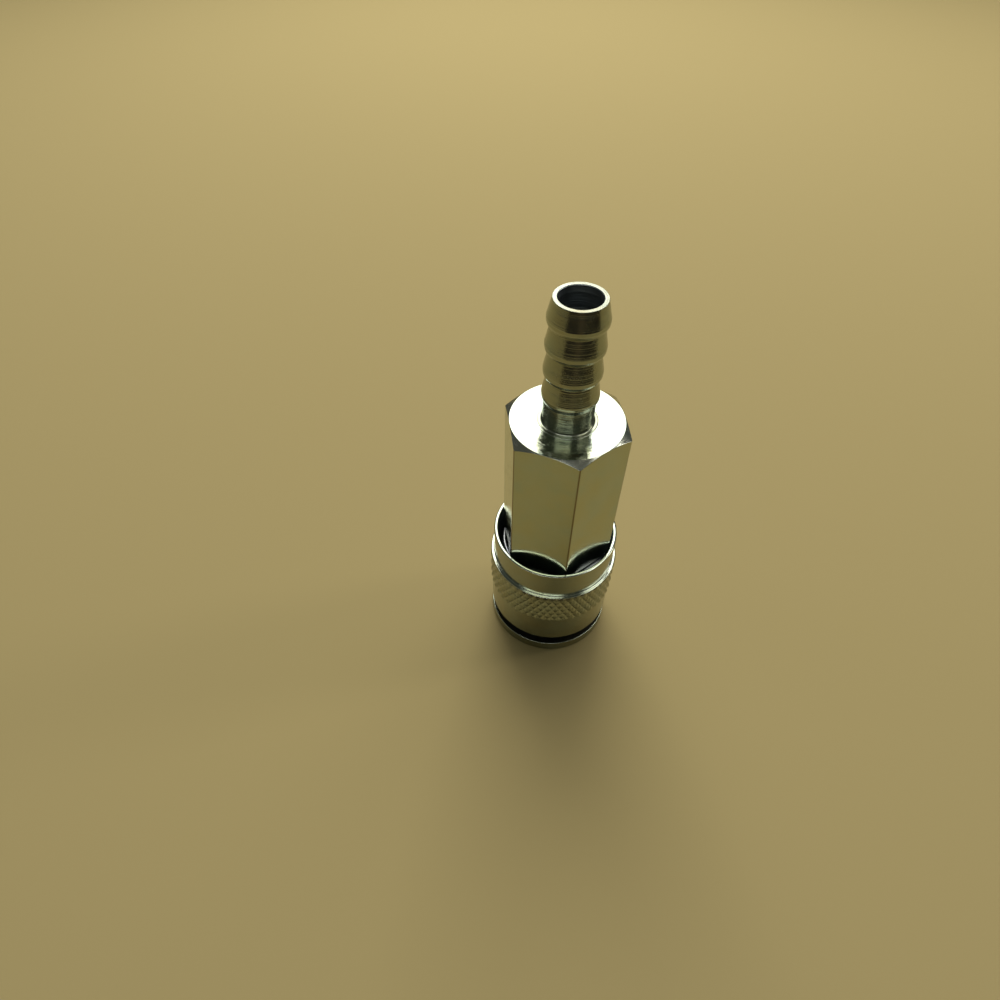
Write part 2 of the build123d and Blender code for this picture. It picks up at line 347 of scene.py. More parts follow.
def new_group(name, inputs, outputs):
    """An empty node group with named sockets: (name, kind, default) in and (name, kind) out."""
    tree = bpy.data.node_groups.new(name, "ShaderNodeTree")
    for socket, kind, default in inputs:
        made = tree.interface.new_socket(socket, in_out="INPUT", socket_type="NodeSocket" + kind)
        if default is not None:
            made.default_value = default
    for socket, kind in outputs:
        tree.interface.new_socket(socket, in_out="OUTPUT", socket_type="NodeSocket" + kind)
    nodes = Nodes(tree)
    given = nodes.node("NodeGroupInput").outputs
    result = nodes.node("NodeGroupOutput").inputs
    return tree, nodes, given, result


# Lathe marks: fine rings that a turning tool leaves. Place is the point on the piece in mm and
# Across is the distance across the rings, the height on a barrel or the radius on an end face.
feed_per_turn = 0.46
lathe_marks, g, given, result = new_group(
    "lathe_marks",
    [("Place", "Vector", None), ("Across", "Float", 0.0), ("Coarse", "Float", 0.5)],
    [("Height", "Float"), ("Streak", "Float")],
)
fine_rings = g.lines(given["Across"], 9.0, 3.0)
wander = g.math("MULTIPLY_ADD", g.lines(given["Across"], 0.8, 1.0), 2.5, given["Across"])
feed = g.math("SINE", g.math("MULTIPLY", wander, 2 * math.pi / feed_per_turn))
broad_rings = g.math("MULTIPLY_ADD", feed, 0.35, g.lines(given["Across"], 2.2, 1.0))
patches = g.noise(given["Place"], 0.35, 2.0)
uneven = g.ramp(patches, 0.35, 0.65, 0.55, 1.0)
rings = g.math("ADD", g.math("MULTIPLY", broad_rings, given["Coarse"]), fine_rings)
g.tree.links.new(g.math("MULTIPLY", rings, uneven), result["Height"])
g.tree.links.new(g.ramp(fine_rings, 0.35, 0.65), result["Streak"])

# Zinc film: bright zinc with a thin clear passivation, so it drifts between straw, grey and a
# faint blue green, and it is duller where it has been handled.
zinc_film, g, given, result = new_group(
    "zinc_film",
    [
        ("Place", "Vector", None),
        ("Bright", "Color", (0.47, 0.52, 0.42, 1.0)),
        ("Straw", "Color", (0.48, 0.50, 0.35, 1.0)),
        ("Cool", "Color", (0.41, 0.50, 0.44, 1.0)),
    ],
    [("Color", "Color"), ("Dull", "Float")],
)
drift = g.ramp(g.noise(given["Place"], 0.16, 2.0), 0.35, 0.65)
second_drift = g.ramp(g.noise(given["Place"], 0.23, 2.0, 0.6), 0.45, 0.75)
toned = g.mix(drift, given["Bright"], given["Straw"])
toned = g.mix(g.math("MULTIPLY", second_drift, 0.6), toned, given["Cool"])
specks = g.ramp(g.noise(given["Place"], 3.5, 3.0, 0.6), 0.62, 0.75, 0.0, 0.35)
g.tree.links.new(g.mix(specks, toned, (0.35, 0.34, 0.27, 1.0)), result["Color"])
g.tree.links.new(g.ramp(g.noise(given["Place"], 0.8, 4.0, 0.6), 0.4, 0.7), result["Dull"])

# Scuffs: short hair scratches from handling and from lying in a bin with other fittings.
scuffs, g, given, result = new_group(
    "scuffs",
    [("Place", "Vector", None), ("Amount", "Float", 0.3)],
    [("Scratch", "Float")],
)
warp = g.noise(given["Place"], 0.5, 1.0)
swing = g.math("MULTIPLY", warp, 6.0)
tilt = g.node("ShaderNodeVectorRotate", {"Vector": given["Place"], "Angle": swing})
long_way = g.node("ShaderNodeMapping", {"Vector": tilt.outputs[0], "Scale": (0.25, 6.0, 1.1)})
hair = g.noise(long_way.outputs[0], 1.3, 1.0, 0.4)
fine_hair = g.ramp(g.math("ABSOLUTE", g.math("SUBTRACT", hair, 0.5)), 0.0, 0.012, 1.0, 0.0)
sparse = g.ramp(g.noise(given["Place"], 0.55, 1.0), 0.5, 0.6)
scratch = g.math("MULTIPLY", g.math("MULTIPLY", fine_hair, sparse), given["Amount"])
g.tree.links.new(scratch, result["Scratch"])


def mm_place(n):
    """The point on the piece in millimetres, moving with the piece."""
    coords = n.node("ShaderNodeTexCoord").outputs["Object"]
    return n.node("ShaderNodeVectorMath", {0: coords, 3: 1 / MM}, operation="SCALE").outputs[0]


def plated_steel(
    name, marks, depth, roughness, coarse=0.5, scratched=0.3, dull=0.09, dark_corner=False, tones=None
):
    """Zinc plated steel. The tool marks lie across marks, which is height, radius or width. depth
    is their depth in mm, roughness the bare gloss, and dull what handling adds to it."""
    wear_and_highlight_color = (0.66, 0.71, 0.62, 1.0)
    corner_shade_color = (0.16, 0.10, 0.05, 1.0)
    material = bpy.data.materials.new(name)
    material.use_nodes = True
    n = Nodes(material.node_tree)
    shader = material.node_tree.nodes["Principled BSDF"]
    place = mm_place(n)
    axes = n.node("ShaderNodeSeparateXYZ", {0: place}).outputs
    if marks == "height":
        across = axes["Z"]
    elif marks == "radius":
        x_squared = n.math("MULTIPLY", axes["X"], axes["X"])
        y_squared = n.math("MULTIPLY", axes["Y"], axes["Y"])
        across = n.math("SQRT", n.math("ADD", x_squared, y_squared))
    else:
        bar_r = 11.0
        across = n.math("MULTIPLY", n.math("ARCTAN2", axes["Y"], axes["X"]), bar_r)
    rings = n.node("ShaderNodeGroup", {}, node_tree=lathe_marks)
    film = n.node("ShaderNodeGroup", {}, node_tree=zinc_film)
    wear = n.node("ShaderNodeGroup", {}, node_tree=scuffs)
    for group in (rings, film, wear):
        n.tree.links.new(place, group.inputs["Place"])
    n.tree.links.new(across, rings.inputs["Across"])
    rings.inputs["Coarse"].default_value = coarse
    wear.inputs["Amount"].default_value = scratched
    for socket, tone in (tones or {}).items():
        film.inputs[socket].default_value = tone
    # Rounded edges are mixed half way to a pale colour: partly handling wear, partly a painted
    # highlight where they catch the light.
    edge = n.node("ShaderNodeAttribute", attribute_name="edge").outputs["Fac"]
    color = n.mix(n.math("MULTIPLY", edge, 0.5), film.outputs["Color"], wear_and_highlight_color)
    # The rounded corners of the hexagon bar are painted a dark brown line, a painted reflection of the
    # shade they mirror.
    if dark_corner:
        corner = n.node("ShaderNodeAttribute", attribute_name="bar_corner").outputs["Fac"]
        color = n.mix(n.math("MULTIPLY", corner, 0.95), color, corner_shade_color)
    n.tree.links.new(color, shader.inputs["Base Color"])
    shader.inputs["Metallic"].default_value = 1.0
    rough = n.math("MULTIPLY_ADD", film.outputs["Dull"], dull, roughness)
    rough = n.math("MULTIPLY_ADD", rings.outputs["Streak"], 0.05, rough)
    rough = n.math("MULTIPLY_ADD", wear.outputs["Scratch"], 0.3, rough)
    n.tree.links.new(rough, shader.inputs["Roughness"])
    height = n.math("SUBTRACT", rings.outputs["Height"], wear.outputs["Scratch"])
    bump = n.node("ShaderNodeBump", {"Height": height, "Distance": depth * MM, "Strength": 1.0})
    n.tree.links.new(bump.outputs[0], shader.inputs["Normal"])
    return material


def finish_by_zone(piece, zones, choose):
    """Gives each face the material that choose(r, z, normal) picks from zones, r and z in mm."""
    zone_names = list(zones)
    for material in zones.values():
        piece.data.materials.append(material)
    for face in piece.data.polygons:
        r = math.hypot(face.center.x, face.center.y) / MM
        face.material_index = zone_names.index(choose(r, face.center.z / MM, face.normal))


hex_inradius = (hex_high.y - hex_low.y) / 2 / MM
hex_corner_r = hex_inradius / math.cos(math.radians(30))
hex_z0 = hex_low.z / MM
hex_length = 31.0
hex_z1 = hex_z0 + hex_length
tip_z = hex_high.z / MM
bar_corner_round = 0.4
end_chamfer_drop = 0.9
face_r = hex_inradius - 0.04


def hexagon_columns(flat_steps=26, corner_steps=6):
    """(angle, radius, edge) round a hexagon, edge being 1 in the middle of its rounded corners.
    Two of the corners lie on the X axis."""
    half_side = math.radians(30)
    cut = bar_corner_round * math.tan(half_side)
    centre_r = hex_corner_r - bar_corner_round / math.cos(half_side)
    points = []
    for corner in range(6):
        middle = math.radians(60 * corner)
        centre = Vector((centre_r * math.cos(middle), centre_r * math.sin(middle)))
        for step in range(corner_steps + 1):
            turn = middle + half_side * (2 * step / corner_steps - 1)
            points.append(centre + bar_corner_round * Vector((math.cos(turn), math.sin(turn))))
        along_flat = middle + math.radians(120)
        side = Vector((math.cos(along_flat), math.sin(along_flat)))
        flat_start = points[-1].copy()
        flat_length = 2 * (hex_inradius * math.tan(half_side) - cut)
        for step in range(1, flat_steps):
            points.append(flat_start + side * flat_length * step / flat_steps)
    along = (corner_steps + 1) + (flat_steps - 1)
    edge = [max(0.0, 1 - abs(2 * (k % along) / corner_steps - 1)) for k in range(len(points))]
    return [(math.atan2(p.y, p.x), p.length, e) for p, e in zip(points, edge)]


barb_crest_r = 4.6
barb_root_r = 3.95
barb_stem_r = 4.2
barb_bore_r = 3.2
barb_pitch = 4.4
barb_count = 4
first_crest_z = tip_z - 3.5
tail_corners = [
    (barb_bore_r, tip_z - 0.12, 0.04),
    (barb_bore_r + 0.1, tip_z, 0.04),
    (barb_root_r - 0.04, tip_z, 0.06),
]
for barb in range(barb_count):
    crest_z = first_crest_z - barb * barb_pitch
    tail_corners += [
        (barb_crest_r, crest_z + 0.6, 0.45),
        (barb_crest_r - 0.02, crest_z, 0.3),
        (barb_crest_r - 0.2, crest_z - 0.45, 0.25),
    ]
    if barb < barb_count - 1:
        tail_corners.append((barb_root_r + 0.06, crest_z - 0.85, 0.12))
tail_corners += [
    (barb_stem_r, crest_z - 0.9, 0.2),
    (barb_stem_r, hex_z1 + 0.07, 0.75),
    (barb_stem_r + 0.72, hex_z1 + 0.07, 0.04),
    (barb_stem_r + 0.75, hex_z1, 0.03),
]

thread_r = 8.0
thread_play = 0.02
joint_end_z = hex_z0 + 9.1
chamber_r = 6.2
chamber_end_z = hex_z0 + 16.035
throat_r = 5.4
bore_corners = [
    (barb_bore_r, hex_z0 + 24.8, 0.4),
    (throat_r, hex_z0 + 21.8, 0.3),
    (throat_r, chamber_end_z, 0.05),
    (chamber_r, chamber_end_z, 0.05),
    (chamber_r, joint_end_z, 0.05),
    (thread_r + thread_play, joint_end_z, 0.05),
]

hex_columns = hexagon_columns()

# Two plain rings keep the turned end face flat out to its chamfer.
face_ring_inner = 6.2
face_ring_outer = 7.9


def adapter_column(index):
    """The closed outline of the adapter at one angle, its chamfers following the hexagon."""
    rho = hex_columns[index][1]
    drop = (rho - face_r) * end_chamfer_drop / (hex_corner_r - face_r)
    corners = tail_corners + [
        (face_ring_inner, hex_z1, 0.0),
        (face_ring_outer, hex_z1, 0.0),
        (face_r, hex_z1, 0.06),
        (rho, hex_z1 - drop, 0.08),
        (rho, hex_z0 + drop + 0.3, 0.08),
        (face_r - 0.3, hex_z0, 0.06),
        (thread_r + 0.5, hex_z0, 0.08),
        (thread_r + thread_play, hex_z0 + 0.5, 0.05),
    ]
    return rounded_corners(corners + list(reversed(bore_corners)), plain_hollows=True)


adapter = ring_piece("hexagon_and_barb", [angle for angle, _, _ in hex_columns], adapter_column)
# bar_corner masks the painted dark line of shade along the hexagon's rounded corners.
corner_shade_mask = adapter.data.attributes.new("bar_corner", "FLOAT", "POINT")
column_length = len(adapter_column(0))
corner_shade_mask.data.foreach_set(
    "value", [edge for _, _, edge in hex_columns for _ in range(column_length)]
)


def adapter_zone(r, z, normal):
    """Which finish a face of the adapter has."""
    if r < barb_bore_r + 0.15 or (r < thread_r + 0.6 and z < hex_z1 - 5):
        return "bore"
    if z > tip_z - 0.03:
        return "tip"
    if z > hex_z1 + 0.02:
        return "barb"
    if normal.z > 0.95:
        return "end_face"
    if abs(normal.z) > 0.2:
        return "chamfer"
    return "flat"


# The plating is thin and dull inside a bore, and the darker tone is also painted shade in the recess.
dull_bore_shade_tones = {
    "Bright": (0.36, 0.39, 0.40, 1.0),
    "Straw": (0.31, 0.32, 0.27, 1.0),
    "Cool": (0.24, 0.30, 0.36, 1.0),
}

chamfer_tones = {
    "Bright": (0.50, 0.52, 0.46, 1.0),
    "Straw": (0.46, 0.45, 0.34, 1.0),
}
barb_tones = {
    "Bright": (0.34, 0.37, 0.29, 1.0),
    "Straw": (0.35, 0.35, 0.24, 1.0),
    "Cool": (0.29, 0.35, 0.30, 1.0),
}
tip_tones = {
    "Bright": (0.47, 0.48, 0.38, 1.0),
    "Straw": (0.41, 0.39, 0.27, 1.0),
}

finish_by_zone(
    adapter,
    {
        "flat": plated_steel("drawn_flats", "width", 0.003, 0.09, coarse=0.3, dark_corner=True),
        "end_face": plated_steel("faced_end", "radius", 0.008, 0.03, coarse=0.8, dull=0.04),
        "chamfer": plated_steel("turned_chamfer", "radius", 0.010, 0.14, tones=chamfer_tones),
        "barb": plated_steel("turned_barbs", "height", 0.015, 0.14, coarse=0.9, tones=barb_tones),
        "tip": plated_steel("faced_tip", "radius", 0.006, 0.30, coarse=1.5, tones=tip_tones),
        "bore": plated_steel("drilled_bore", "height", 0.03, 0.34, coarse=1.4, tones=dull_bore_shade_tones),
    },
    adapter_zone,
)
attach(adapter, "coupler_body")
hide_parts("hose_barb_adapter")


# ---------------------------------------------------------------------------------------------
# Lock sleeve: turned from steel bar and zinc plated. A ramp and a short bearing inside, a thin
# rim round the hexagon, and a diamond knurl rolled into the raised band for the fingers.
# ---------------------------------------------------------------------------------------------
sleeve_low, sleeve_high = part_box("lock_sleeve")
ring_low, ring_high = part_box("spring_seat_ring")
sleeve_z0 = sleeve_low.z / MM
sleeve_z1 = sleeve_high.z / MM
knurl_r = sleeve_high.x / MM
land_z1 = ring_low.z / MM
front_band_r = knurl_r - 0.3
rear_band_r = knurl_r - 0.7
rear_band_width = 6.4
knurl_width = 8.0
knurl_chamfer = 0.3
sleeve_bore_r = hex_corner_r + 0.3
ridge_z = sleeve_z1 - rear_band_width
knurl_z0 = ridge_z - knurl_width
land_r = 8.75
land_z0 = 11.06
ramp_mouth_r = 10.234

knurl_pitches = 54
cells_per_pitch = 12
groove_half_cells = 4.4
groove_depth = 0.28
run_out_rows = 6
knurl_angle = math.radians(30)
knurl_sharp_angle = 24
sleeve_columns = knurl_pitches * cells_per_pitch
cell_width = 2 * math.pi * knurl_r / sleeve_columns
cell_height = cell_width / math.tan(knurl_angle)
knurl_rows = int((ridge_z - knurl_z0 + knurl_chamfer) / cell_height)


def groove_cut(column, row):
    """Depth of the two crossing families of V grooves at a grid point of the knurl."""
    cut = 0.0
    for lane in (column - row, column + row):
        away = lane % cells_per_pitch
        away = min(away, cells_per_pitch - away)
        cut = max(cut, groove_depth * (1 - away / groove_half_cells))
    return cut * min(1.0, row / run_out_rows)


def knurl_band_r(z):
    """Radius of the raised band before the grooves are rolled in, with its two chamfers."""
    front_chamfer_r = front_band_r + max(z - knurl_z0 + knurl_chamfer, 0.0)
    rear_chamfer_r = knurl_r - (z - ridge_z + 0.24)
    return min(knurl_r, front_chamfer_r, rear_chamfer_r)


sleeve_inside = rounded_corners(
    [
        (front_band_r, knurl_z0 - 0.5, 0.0),
        (front_band_r, sleeve_z0, 0.3),
        (ramp_mouth_r, sleeve_z0, 0.12),
        (land_r, land_z0, 0.1),
        (land_r, land_z1, 0.1),
        (sleeve_bore_r, land_z1, 0.2),
        (sleeve_bore_r, sleeve_z1, 0.18),
        (rear_band_r, sleeve_z1, 0.3),
        (rear_band_r, ridge_z, 0.12),
        (knurl_r - 0.14, ridge_z, 0.1),
    ]
)


def sleeve_column(index):
    """The closed outline of the sleeve at one angle, with the knurl's grooves cut into its band."""
    points = sleeve_inside[1:]
    knurl_top = ridge_z - 0.1
    knurl_foot = knurl_z0 - knurl_chamfer
    for row in range(knurl_rows + 1):
        z = knurl_top - (knurl_top - knurl_foot) * row / knurl_rows
        rolled_r = knurl_r - groove_cut(index, row)
        points.append((min(knurl_band_r(z), rolled_r), z, 0.0))
    return points + [(front_band_r, knurl_z0 - 0.34, 0.0), (front_band_r, knurl_z0 - 0.5, 0.0)]


def split_knurl(name, angles, column, first_row, rows):
    """A ring piece whose knurl faces are split along the groove that crosses them."""
    piece = ring_piece(name, angles, column)
    work = bmesh.new()
    work.from_mesh(piece.data)
    work.verts.ensure_lookup_table()
    length = len(column(0))
    pairs = []
    for i in range(len(angles)):
        for row in range(rows):
            j = first_row + row
            here, beside = i * length + j, (i + 1) % len(angles) * length + j
            if (i - row) % cells_per_pitch == 0:
                pairs.append((here, beside + 1))
            elif (i + 1 + row) % cells_per_pitch == 0:
                pairs.append((beside, here + 1))
    for a, b in pairs:
        corner_a, corner_b = work.verts[a], work.verts[b]
        shared = set(corner_a.link_faces) & set(corner_b.link_faces)
        for face in shared:
            bmesh.utils.face_split(face, corner_a, corner_b)
    work.to_mesh(piece.data)
    work.free()
    smooth_faces(piece.data, knurl_sharp_angle)
    return piece


sleeve = split_knurl(
    "knurled_sleeve",
    even_angles(sleeve_columns),
    sleeve_column,
    len(sleeve_inside) - 1,
    knurl_rows,
)


def sleeve_zone(r, z, normal):
    """Which finish a face of the sleeve has."""
    if normal.z > 0.6 and z > ridge_z - 0.2 and r > sleeve_bore_r - 0.1:
        return "rim"
    if r < sleeve_bore_r + 0.05:
        return "bore"
    if r > front_band_r + 0.02 and z > knurl_z0 - 0.35:
        return "knurl"
    return "band"


# The sleeve's film is toned darker than the hexagon's: painted shade for the shaded bench close in
# front, which it mirrors.
sleeve_shade_tones = {
    "Bright": (0.33, 0.36, 0.29, 1.0),
    "Straw": (0.34, 0.34, 0.24, 1.0),
    "Cool": (0.29, 0.34, 0.30, 1.0),
}
# The upward faces of the rim and the ridge get a paler tone: a painted highlight for the light they
# catch from behind.
rim_highlight_tones = {
    "Bright": (0.60, 0.64, 0.55, 1.0),
    "Straw": (0.58, 0.60, 0.45, 1.0),
}
# The sleeve's bore is toned very dark: painted shade in the narrow gap round the hexagon.
sleeve_bore_shade_tones = {
    "Bright": (0.15, 0.20, 0.21, 1.0),
    "Straw": (0.14, 0.17, 0.15, 1.0),
    "Cool": (0.10, 0.18, 0.21, 1.0),
}

finish_by_zone(
    sleeve,
    {
        "band": plated_steel(
            "turned_bands", "height", 0.005, 0.10, coarse=0.8, scratched=0.5, tones=sleeve_shade_tones
        ),
        "knurl": plated_steel("rolled_knurl", "height", 0.004, 0.18, scratched=0.4, tones=sleeve_shade_tones),
        "rim": plated_steel("rim_painted_highlight", "radius", 0.002, 0.09, coarse=0.6, tones=rim_highlight_tones),
        "bore": plated_steel("sleeve_bore", "height", 0.02, 0.6, coarse=1.0, tones=sleeve_bore_shade_tones),
    },
    sleeve_zone,
)
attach(sleeve, "sleeve")
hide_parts("lock_sleeve")


# ---------------------------------------------------------------------------------------------
# Socket body: one turned and plated piece. Its nose flange guards the front of the sleeve, the
# groove behind it is the stop, and the barrel inside carries the balls, the seal and the valve.
# ---------------------------------------------------------------------------------------------
body_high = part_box("socket_body")[1]
ball_low, ball_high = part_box("lock_ball_1")
flange_t = 2.5
groove_floor_r = front_band_r - 1.7
barrel_r = 8.7
plug_bore_r = 6.0
plug_bore_depth = 17.5
relieved_bore_r = 6.2
tip_bore_r = 4.05
spigot_z1 = body_high.z / MM
ball_r = (ball_high.z - ball_low.z) / 2 / MM
ball_z = (ball_high.z + ball_low.z) / 2 / MM
ball_centre_r = (ball_high.x + ball_low.x) / 2 / MM
ball_play = 0.05
plug_seal_low, plug_seal_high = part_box("plug_seal")
seal_z = (plug_seal_low.z + plug_seal_high.z) / 2 / MM
end_seal_low, end_seal_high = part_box("adapter_seal")
end_seal_z = (end_seal_low.z + end_seal_high.z) / 2 / MM
end_groove_r = thread_r - 1.1
end_groove_half = 0.75
seal_groove_r = 5.4
seal_groove_half = 0.95
seat_z = 25.5
seat_lip = 0.5

body_corners = [
    (plug_bore_r + 0.8, 0.0, 0.1),
    (front_band_r, 0.0, 0.3),
    (front_band_r, flange_t, 0.1),
    (groove_floor_r, flange_t, 0.25),
    (groove_floor_r, sleeve_z0, 0.1),
    (barrel_r, sleeve_z0, 0.1),
    (barrel_r, hex_z0, 0.1),
    (thread_r, hex_z0, 0.1),
    (thread_r, end_seal_z - end_groove_half, 0.08),
    (end_groove_r, end_seal_z - end_groove_half, 0.15),
    (end_groove_r, end_seal_z + end_groove_half, 0.15),
    (thread_r, end_seal_z + end_groove_half, 0.08),
    (thread_r, spigot_z1, 0.3),
    (chamber_r, spigot_z1, 0.1),
    (chamber_r, seat_z - seat_lip, 0.2),
    (tip_bore_r + 1.1, seat_z - seat_lip, 0.1),
    (tip_bore_r + 0.55, seat_z, 0.06),
    (tip_bore_r, seat_z, 0.06),
    (tip_bore_r, seal_z + seal_groove_half, 0.08),
    (seal_groove_r, seal_z + seal_groove_half, 0.1),
    (seal_groove_r, seal_z - seal_groove_half, 0.1),
    (tip_bore_r, seal_z - seal_groove_half, 0.08),
    (tip_bore_r, plug_bore_depth, 0.3),
    (relieved_bore_r, plug_bore_depth, 0.15),
    (relieved_bore_r, 7.85, 0.1),
    (plug_bore_r, 7.65, 0.1),
    (plug_bore_r, 0.8, 0.1),
]
body_outline = rounded_corners(body_corners)
body = ring_piece("socket_body_turned", even_angles(192), lambda index: body_outline)


def pocket_cutter(angle):
    """A round-nosed radial cutter of the ball's size plus its play."""
    work = bmesh.new()
    radius = (ball_r + ball_play) * MM
    reach = (barrel_r - ball_centre_r + 1.0) * MM
    rings, around = 12, 48
    loops = []
    for ring in range(rings + 1):
        dip = math.pi / 2 * ring / rings
        loops.append((radius * math.sin(dip), -radius * math.cos(dip)))
    loops.append((radius, reach))
    grid = []
    for r, x in loops[1:]:
        loop = [(x, r * math.cos(turn), r * math.sin(turn)) for turn in even_angles(around)]
        grid.append([work.verts.new(point) for point in loop])
    nose = work.verts.new((-radius, 0, 0))
    for k in range(around):
        n = (k + 1) % around
        work.faces.new((nose, grid[0][n], grid[0][k]))
        for a, b in zip(grid, grid[1:]):
            work.faces.new((a[k], a[n], b[n], b[k]))
    work.faces.new(grid[-1])
    bmesh.ops.recalc_face_normals(work, faces=work.faces)
    bmesh.ops.translate(work, verts=work.verts, vec=(ball_centre_r * MM, 0, ball_z * MM))
    bmesh.ops.rotate(work, verts=work.verts, cent=(0, 0, 0), matrix=Matrix.Rotation(angle, 3, "Z"))
    mesh = bpy.data.meshes.new("pocket_cutter")
    work.to_mesh(mesh)
    work.free()
    cutter = bpy.data.objects.new("pocket_cutter", mesh)
    bpy.context.scene.collection.objects.link(cutter)
    return cutter


def cut_away(piece, cutters):
    """Cuts the cutters out of the piece, one after the other, then removes the cutters."""
    for cutter in cutters:
        step = piece.modifiers.new("cut", "BOOLEAN")
        step.operation = "DIFFERENCE"
        step.solver = "EXACT"
        step.object = cutter
    graph = bpy.context.evaluated_depsgraph_get()
    cut_mesh = bpy.data.meshes.new_from_object(piece.evaluated_get(graph))
    piece.modifiers.clear()
    piece.data = cut_mesh
    for cutter in cutters:
        bpy.data.objects.remove(cutter)


ball_count = 6
cut_away(body, [pocket_cutter(angle) for angle in even_angles(ball_count)])
smooth_faces(body.data)

# The groove behind the flange is painted nearly black: painted shade for the deep groove.
groove_shade_tones = {
    "Bright": (0.09, 0.09, 0.08, 1.0),
    "Straw": (0.10, 0.09, 0.06, 1.0),
    "Cool": (0.06, 0.07, 0.07, 1.0),
}


def body_zone(r, z, normal):
    """Which finish a face of the body has."""
    if groove_floor_r - 0.2 < r < front_band_r - 0.2 and flange_t - 0.2 < z < sleeve_z0 + 0.1:
        return "groove"
    if abs(normal.z) > 0.9:
        return "faces"
    return "bore" if r < thread_r - 0.2 else "barrel"


finish_by_zone(
    body,
    {
        # The barrel shares the sleeve's darker tone and so its painted shade.
        "barrel": plated_steel("turned_body", "height", 0.006, 0.15, coarse=0.8, tones=sleeve_shade_tones),
        "faces": plated_steel("faced_nose", "radius", 0.010, 0.2, coarse=0.8, scratched=0.6),
        # The groove's near black tone is painted shade.
        "groove": plated_steel("groove_painted_shade", "height", 0.010, 0.3, coarse=0.8, tones=groove_shade_tones),
        "bore": plated_steel("bored_body", "height", 0.012, 0.26, coarse=1.0, tones=dull_bore_shade_tones),
    },
    body_zone,
)
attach(body, "coupler_body")
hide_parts("socket_body")


# ---------------------------------------------------------------------------------------------
# Lock balls: hardened and polished chrome steel, one in each pocket of the barrel. Their polish
# has a faint haze and scattered hair scratches from use.
# ---------------------------------------------------------------------------------------------
ball_steel = bpy.data.materials.new("polished_ball_steel")
ball_steel.use_nodes = True
n = Nodes(ball_steel.node_tree)
shader = ball_steel.node_tree.nodes["Principled BSDF"]
shader.inputs["Metallic"].default_value = 1.0
ball_place = mm_place(n)
haze = n.ramp(n.noise(ball_place, 1.6, 3.0), 0.4, 0.7)
rub = n.node("ShaderNodeGroup", {"Place": ball_place, "Amount": 0.8}, node_tree=scuffs)
ball_color = n.mix(haze, (0.78, 0.79, 0.80, 1.0), (0.62, 0.63, 0.66, 1.0))
n.tree.links.new(ball_color, shader.inputs["Base Color"])
polish = n.math("MULTIPLY_ADD", haze, 0.08, 0.04)
rubbed = n.math("MULTIPLY_ADD", rub.outputs["Scratch"], 0.3, polish)
n.tree.links.new(rubbed, shader.inputs["Roughness"])


def refinish(node, material):
    """Gives a CAD node one material in every slot."""
    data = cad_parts[node].data
    data.materials.clear()
    data.materials.append(material)


for number in range(1, ball_count + 1):
    refinish(f"lock_ball_{number}", ball_steel)


# ---------------------------------------------------------------------------------------------
# Springs: round spring-steel wire, cold coiled with closed ends that are ground flat. The large
# one pushes the sleeve forward round the barrel, the small one closes the valve.
# ---------------------------------------------------------------------------------------------
wire_steel = bpy.data.materials.new("drawn_spring_wire")
wire_steel.use_nodes = True
n = Nodes(wire_steel.node_tree)
shader = wire_steel.node_tree.nodes["Principled BSDF"]
shader.inputs["Metallic"].default_value = 1.0
wire_place = mm_place(n)
blue = n.ramp(n.noise(wire_place, 0.5, 3.0), 0.4, 0.7)
wire_color = n.mix(blue, (0.36, 0.36, 0.37, 1.0), (0.24, 0.25, 0.29, 1.0))
n.tree.links.new(wire_color, shader.inputs["Base Color"])
drawn = n.noise(wire_place, 5.0, 4.0, 0.6)
n.tree.links.new(n.math("MULTIPLY_ADD", drawn, 0.2, 0.18), shader.inputs["Roughness"])
drawn_bump = n.node("ShaderNodeBump", {"Height": drawn, "Distance": 0.01 * MM})
n.tree.links.new(drawn_bump.outputs[0], shader.inputs["Normal"])


def wound_spring(name, node, wire_d, active_turns, end_turns=0.9, around=16):
    """A compression spring in the box of its CAD node, its end turns closed and ground flat."""
    low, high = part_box(node)
    coil_r = (high.x - low.x) / 2 - wire_d * MM / 2
    wire_r = wire_d * MM / 2
    floor, ceiling = low.z, high.z
    turns = active_turns + 2 * end_turns
    steps = int(turns * 64)
    end_pitch = 2 * wire_r * 0.9
    start_z = floor + wire_r * 0.55
    rise = (ceiling - floor) - 2 * wire_r * (1 + end_turns * 0.9)
    verts = []
    for step in range(steps + 1):
        turn = turns * step / steps
        closing = min(turn, end_turns) + max(turn - turns + end_turns, 0.0)
        active = min(max(turn - end_turns, 0.0), active_turns)
        z = start_z + closing * end_pitch + active * rise / active_turns
        angle = 2 * math.pi * turn
        for k in range(around):
            phi = 2 * math.pi * k / around
            r = coil_r + wire_r * math.cos(phi)
            ground = min(max(z + wire_r * math.sin(phi), floor), ceiling)
            verts.append((r * math.cos(angle), r * math.sin(angle), ground))
    faces = [tuple(reversed(range(around))), tuple(steps * around + k for k in range(around))]
    for step in range(steps):
        for k in range(around):
            a, b = step * around + k, step * around + (k + 1) % around
            faces.append((a, b, b + around, a + around))
    mesh = bpy.data.meshes.new(name)
    mesh.from_pydata(verts, [], faces)
    smooth_faces(mesh, 50)
    mesh.materials.append(wire_steel)
    spring = bpy.data.objects.new(name, mesh)
    bpy.context.scene.collection.objects.link(spring)
    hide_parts(node)
    return spring


sleeve_spring = wound_spring("wound_sleeve_spring", "sleeve_spring", 1.1, 1.7, 0.75, 20)
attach(sleeve_spring, "coupler_body")
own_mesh(sleeve_spring)
valve_spring = wound_spring("wound_valve_spring", "valve_spring", 0.7, 4.2)
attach(valve_spring, "coupler_body")
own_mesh(valve_spring)


